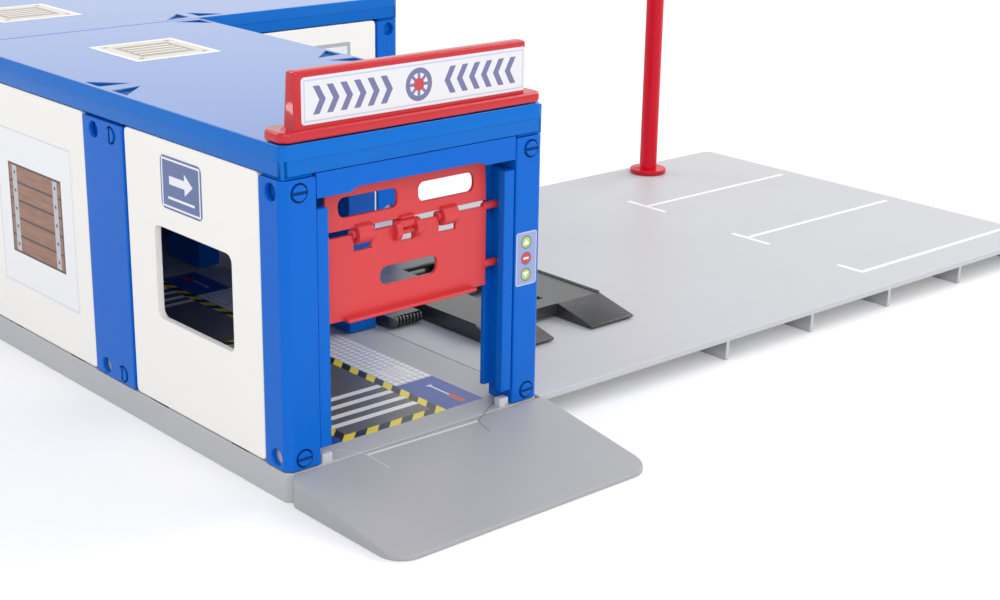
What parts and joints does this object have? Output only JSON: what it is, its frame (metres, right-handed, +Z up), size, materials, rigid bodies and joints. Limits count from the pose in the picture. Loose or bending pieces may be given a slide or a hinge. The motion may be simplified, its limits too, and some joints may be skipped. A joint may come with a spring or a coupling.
{
  "type": "toy auto workshop",
  "caption": "Toy auto workshop on a plate base with a sectional bay door, a window, a side bay, an entry ramp, a yard with a lever-raised car lift, a roof sign board and a mast.",
  "frame": {"origin": "centre of the underside of the foot under the front left post, on the ground", "axes": "+X to the right along the door face and the yard, +Y from the door face to the back, +Z up"},
  "size_m": [0.4586, 0.3976, 0.187],
  "materials": {
    "blue_plastic": "semi-gloss moulded",
    "white_plastic": "semi-gloss moulded",
    "red_plastic": "semi-gloss moulded",
    "grey_plastic": "satin moulded",
    "pale_grey_plastic": "satin moulded",
    "black_plastic": "satin moulded"
  },
  "bodies": {
    "workshop": {"back_left_panel": "white_plastic", "back_left_post": "blue_plastic", "back_mid_post": "blue_plastic", "back_right_panel": "white_plastic", "back_right_post": "blue_plastic", "door_lintel": "blue_plastic", "door_rail_left": "blue_plastic", "door_rail_right": "blue_plastic", "entry_ramp": "grey_plastic", "front_left_post": "blue_plastic", "front_right_post": "blue_plastic", "inner_rear_post": "blue_plastic", "inner_side_panel": "white_plastic", "inner_side_post": "blue_plastic", "left_mid_post": "blue_plastic", "left_middle_panel": "white_plastic", "left_rear_panel": "white_plastic", "left_rear_post": "blue_plastic", "left_window_panel": "white_plastic", "lift_base": "black_plastic", "main_roof": "blue_plastic", "mast_pole": "red_plastic", "mast_sign": "red_plastic", "rear_floor": "grey_plastic", "rear_front_right_post": "blue_plastic", "rear_roof": "blue_plastic", "right_mid_post": "blue_plastic", "right_rear_panel": "white_plastic", "roof_sign": "red_plastic", "service_front_panel": "white_plastic", "slotted_bolt_01": "blue_plastic", "slotted_bolt_02": "blue_plastic", "slotted_bolt_03": "blue_plastic", "slotted_bolt_04": "blue_plastic", "slotted_bolt_05": "blue_plastic", "slotted_bolt_06": "blue_plastic", "slotted_bolt_07": "blue_plastic", "slotted_bolt_08": "blue_plastic", "slotted_bolt_09": "blue_plastic", "slotted_bolt_10": "blue_plastic", "workshop_floor": "grey_plastic", "yard_plate": "pale_grey_plastic"},
    "door_bottom": {"door_bottom_section": "red_plastic"},
    "door_middle": {"door_middle_section": "red_plastic"},
    "door_top": {"door_top_section": "red_plastic"},
    "lift_drive": {"lift_drive_arms": "black_plastic"},
    "lift_idler": {"lift_idler_arms": "black_plastic"},
    "lift_deck": {"lift_platform": "black_plastic"}
  },
  "joints": [
    {"name": "door_travel", "type": "slide", "parent": "workshop", "child": "door_bottom", "axis": [0, 0, 1], "range_m": [-0.0459, 0]},
    {"name": "door_middle_tilt", "type": "hinge", "parent": "door_bottom", "child": "door_middle", "pos_m": [0.0498, 0.0007, 0.0863], "axis": [-1, 0, 0], "range_deg": [-3, 0]},
    {"name": "door_top_fold", "type": "hinge", "parent": "door_middle", "child": "door_top", "pos_m": [0.0498, 0.00224, 0.11576], "axis": [-1, 0, 0], "range_deg": [-87, 0]},
    {"name": "lift_lever", "type": "hinge", "parent": "workshop", "child": "lift_drive", "pos_m": [0.1629, 0.1003, 0.0138], "axis": [-1, 0, 0], "range_deg": [0, 70]},
    {"name": "lift_level", "type": "hinge", "parent": "lift_drive", "child": "lift_deck", "pos_m": [0.1629, 0.0693, 0.0138], "axis": [-1, 0, 0], "range_deg": [-70, 0]},
    {"name": "lift_rear_arm", "type": "hinge", "parent": "workshop", "child": "lift_idler", "pos_m": [0.1629, 0.1383, 0.0138], "axis": [-1, 0, 0], "range_deg": [0, 70]}
  ],
  "couplings": [
    {"joint": "door_middle_tilt", "follows": "door_travel", "rad_per_m": 1.1407},
    {"joint": "door_top_fold", "follows": "door_travel", "rad_per_m": 33.081},
    {"joint": "lift_level", "follows": "lift_lever", "ratio": -1},
    {"joint": "lift_rear_arm", "follows": "lift_lever", "ratio": 1}
  ]
}
